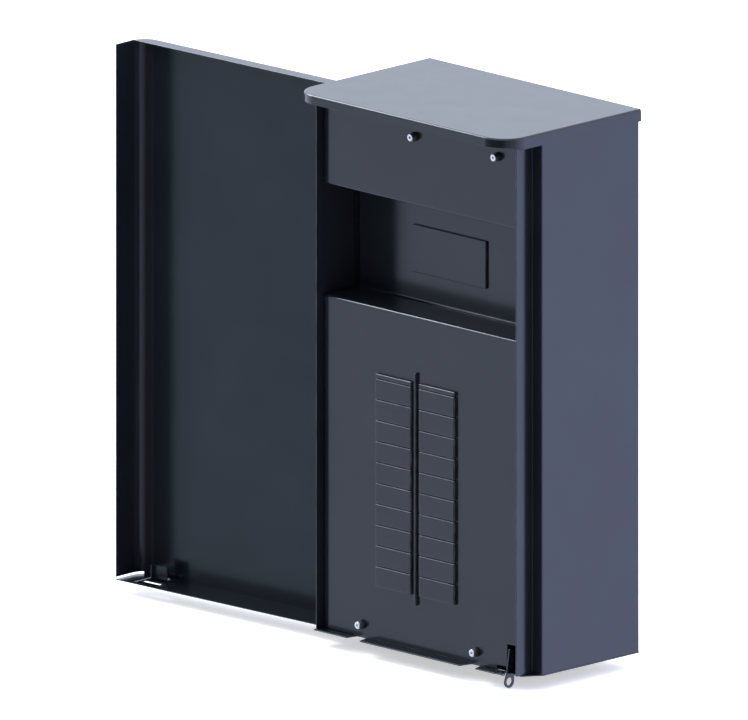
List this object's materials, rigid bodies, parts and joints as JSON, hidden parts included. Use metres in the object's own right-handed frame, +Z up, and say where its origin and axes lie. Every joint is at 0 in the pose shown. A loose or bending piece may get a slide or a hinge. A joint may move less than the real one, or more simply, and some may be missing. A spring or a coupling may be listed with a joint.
{
  "type": "outdoor load centre enclosure",
  "caption": "Wall-mounted rainproof breaker panel enclosure with a swung-open pan door, rain cap, deadfront with breaker twistouts, recess, screws and drop hasp.",
  "frame": {"origin": "centre of the four wall holes, on the outer face of the back", "axes": "+X to the right seen from the front, +Y from the door towards the wall, +Z up"},
  "size_m": [0.6978, 0.228, 0.68],
  "materials": {
    "blue_grey_paint": "semi-gloss baked paint",
    "black_nylon": "matt moulded",
    "bright_zinc": "bright zinc plate",
    "galvanised_sheet": "galvanised",
    "aluminium_bar": "extruded, tin plated",
    "insulator": "moulded thermoset",
    "green_screw": "dyed zinc"
  },
  "bodies": {
    "box": {"box_wrapper": "blue_grey_paint", "bottom_wall": "blue_grey_paint", "rain_cap": "blue_grey_paint", "upper_cover": "blue_grey_paint", "deadfront": "blue_grey_paint", "breaker_twistouts": "blue_grey_paint", "main_breaker_blank": "blue_grey_paint", "screw_collars": "black_nylon", "cover_screws": "bright_zinc", "hinge_pins": "bright_zinc", "hasp_pin": "bright_zinc", "catch_rivets": "bright_zinc", "base_screws": "bright_zinc", "bus_screws": "bright_zinc", "main_lug_screws": "bright_zinc", "neutral_screws": "bright_zinc", "neutral_lug_screw": "bright_zinc", "ground_screws": "bright_zinc", "upper_cover_bracket": "galvanised_sheet", "lower_cover_bracket": "galvanised_sheet", "box_hinge_leaves": "galvanised_sheet", "hasp_bracket": "galvanised_sheet", "catch_anchor": "galvanised_sheet", "base_pan": "galvanised_sheet", "breaker_rails": "galvanised_sheet", "ground_standoffs": "galvanised_sheet", "left_bus_bar": "aluminium_bar", "right_bus_bar": "aluminium_bar", "main_lugs": "aluminium_bar", "neutral_bars": "aluminium_bar", "neutral_strap": "aluminium_bar", "neutral_lug": "aluminium_bar", "ground_bar": "aluminium_bar", "bus_insulators": "insulator", "neutral_supports": "insulator", "bonding_screw": "green_screw"},
    "door": {"door_pan": "blue_grey_paint", "door_stop_bracket": "blue_grey_paint", "stop_rivets": "bright_zinc", "door_hinge_leaves": "galvanised_sheet"},
    "hasp": {"hasp_lever": "blue_grey_paint"},
    "catch": {"catch_spring": "blue_grey_paint"}
  },
  "joints": [
    {"name": "door_swing", "type": "hinge", "parent": "box", "child": "door", "pos_m": [-0.178, -0.168, -0.024], "axis": [0, 0, 1], "range_deg": [0, 177.9]},
    {"name": "hasp_lift", "type": "hinge", "parent": "box", "child": "hasp", "pos_m": [0.1377, -0.135, -0.312], "axis": [-1, 0, 0], "range_deg": [0, 25]},
    {"name": "catch_flex", "type": "hinge", "parent": "box", "child": "catch", "pos_m": [0.1252, -0.154, -0.3232], "axis": [-1, 0, 0], "range_deg": [0, 5.8], "stiffness_Nm_per_rad": 0.6, "springref_deg": -1.72}
  ]
}
